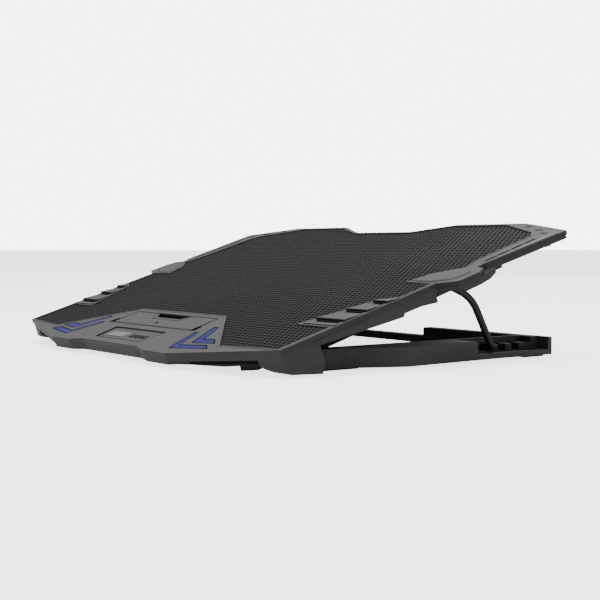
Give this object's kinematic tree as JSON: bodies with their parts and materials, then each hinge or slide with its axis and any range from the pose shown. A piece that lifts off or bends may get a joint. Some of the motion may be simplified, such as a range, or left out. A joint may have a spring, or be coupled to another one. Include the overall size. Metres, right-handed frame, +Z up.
{
  "type": "laptop cooling pad",
  "caption": "Laptop cooling pad with a perforated sheet over fans, a sloped front panel, a flap that lifts to stop the laptop, and wire legs that hold the deck tilted on a U-shaped base.",
  "frame": {"origin": "centre of the bounding box at the surface the base stands on, with the deck raised", "axes": "+X to the user's right along the front edge, +Y away from the user towards the raised rear, +Z up"},
  "size_m": [0.4, 0.2708, 0.0945],
  "materials": {
    "grey_plastic": "matt, finely textured",
    "dark_plastic": "matt",
    "black_steel_sheet": "powder coated, perforated",
    "black_plastic": "satin",
    "blue_lens": "glossy, translucent",
    "rubber": "matt",
    "painted_wire": "satin paint",
    "steel": "plated",
    "display_window": "glossy",
    "circuit_board": "satin"
  },
  "bodies": {
    "base": {"base_frame": "dark_plastic", "base_foot_front_left": "rubber", "base_foot_rear_left": "rubber", "hinge_pin_left": "steel", "base_foot_front_right": "rubber", "base_foot_rear_right": "rubber", "hinge_pin_right": "steel"},
    "deck": {"deck_foot_left": "rubber", "stop_pin_left": "steel", "shell_screw_front_left": "steel", "shell_screw_rear_left": "steel", "light_lens_left_1": "blue_lens", "light_lens_left_2": "blue_lens", "leg_bracket_left": "black_plastic", "deck_foot_right": "rubber", "stop_pin_right": "steel", "shell_screw_front_right": "steel", "shell_screw_rear_right": "steel", "light_lens_right_1": "blue_lens", "light_lens_right_2": "blue_lens", "leg_bracket_right": "black_plastic", "top_frame": "grey_plastic", "mesh_sheet": "black_steel_sheet", "lower_shell": "dark_plastic", "display_window": "display_window", "display_module": "black_plastic", "control_board": "circuit_board", "usb_socket_1": "steel", "usb_socket_2": "steel", "fan_frame_centre": "dark_plastic", "fan_guard_centre": "dark_plastic", "fan_frame_front_left": "dark_plastic", "fan_guard_front_left": "dark_plastic", "fan_frame_front_right": "dark_plastic", "fan_guard_front_right": "dark_plastic", "fan_frame_rear_left": "dark_plastic", "fan_guard_rear_left": "dark_plastic", "fan_frame_rear_right": "dark_plastic", "fan_guard_rear_right": "dark_plastic"},
    "stop": {"laptop_stop": "grey_plastic"},
    "key_1": {"button_1": "black_plastic"},
    "key_2": {"button_2": "black_plastic"},
    "key_3": {"button_3": "black_plastic"},
    "rotor_centre": {"fan_rotor_centre": "black_plastic"},
    "rotor_front_left": {"fan_rotor_front_left": "black_plastic"},
    "rotor_front_right": {"fan_rotor_front_right": "black_plastic"},
    "rotor_rear_left": {"fan_rotor_rear_left": "black_plastic"},
    "rotor_rear_right": {"fan_rotor_rear_right": "black_plastic"},
    "leg_left": {"support_leg_left": "painted_wire"},
    "leg_right": {"support_leg_right": "painted_wire"}
  },
  "joints": [
    {"name": "deck_tilt", "type": "hinge", "parent": "base", "child": "deck", "pos_m": [0, -0.07513, 0.0085], "axis": [1, 0, 0], "range_deg": [-17.4, 0]},
    {"name": "stop_lift", "type": "hinge", "parent": "deck", "child": "stop", "pos_m": [0, -0.09716, 0.02055], "axis": [1, 0, 0], "range_deg": [0, 100]},
    {"name": "leg_fold_left", "type": "hinge", "parent": "deck", "child": "leg_left", "pos_m": [-0.1663, 0.03236, 0.05233], "axis": [1, 0, 0], "range_deg": [0, 54]},
    {"name": "leg_fold_right", "type": "hinge", "parent": "deck", "child": "leg_right", "pos_m": [0.1663, 0.03236, 0.05233], "axis": [1, 0, 0], "range_deg": [0, 54]},
    {"name": "key_1_press", "type": "slide", "parent": "deck", "child": "key_1", "axis": [0, 0.299, -0.9542], "range_m": [0, 0.0006], "stiffness_N_per_m": 800, "springref_m": -0.0006},
    {"name": "key_2_press", "type": "slide", "parent": "deck", "child": "key_2", "axis": [0, 0.299, -0.9542], "range_m": [0, 0.0006], "stiffness_N_per_m": 800, "springref_m": -0.0006},
    {"name": "key_3_press", "type": "slide", "parent": "deck", "child": "key_3", "axis": [0, 0.299, -0.9542], "range_m": [0, 0.0006], "stiffness_N_per_m": 800, "springref_m": -0.0006},
    {"name": "fan_spin_centre", "type": "hinge", "parent": "deck", "child": "rotor_centre", "pos_m": [0, 0.01522, 0.0435], "axis": [0, -0.299, 0.9542], "continuous": true},
    {"name": "fan_spin_front_left", "type": "hinge", "parent": "deck", "child": "rotor_front_left", "pos_m": [-0.101, -0.03393, 0.0281], "axis": [0, -0.299, 0.9542], "continuous": true},
    {"name": "fan_spin_front_right", "type": "hinge", "parent": "deck", "child": "rotor_front_right", "pos_m": [0.101, -0.03393, 0.0281], "axis": [0, -0.299, 0.9542], "continuous": true},
    {"name": "fan_spin_rear_left", "type": "hinge", "parent": "deck", "child": "rotor_rear_left", "pos_m": [-0.101, 0.06436, 0.0589], "axis": [0, -0.299, 0.9542], "continuous": true},
    {"name": "fan_spin_rear_right", "type": "hinge", "parent": "deck", "child": "rotor_rear_right", "pos_m": [0.101, 0.06436, 0.0589], "axis": [0, -0.299, 0.9542], "continuous": true}
  ],
  "couplings": [
    {"joint": "leg_fold_left", "follows": "deck_tilt", "ratio": -3.015},
    {"joint": "leg_fold_right", "follows": "deck_tilt", "ratio": -3.015}
  ]
}
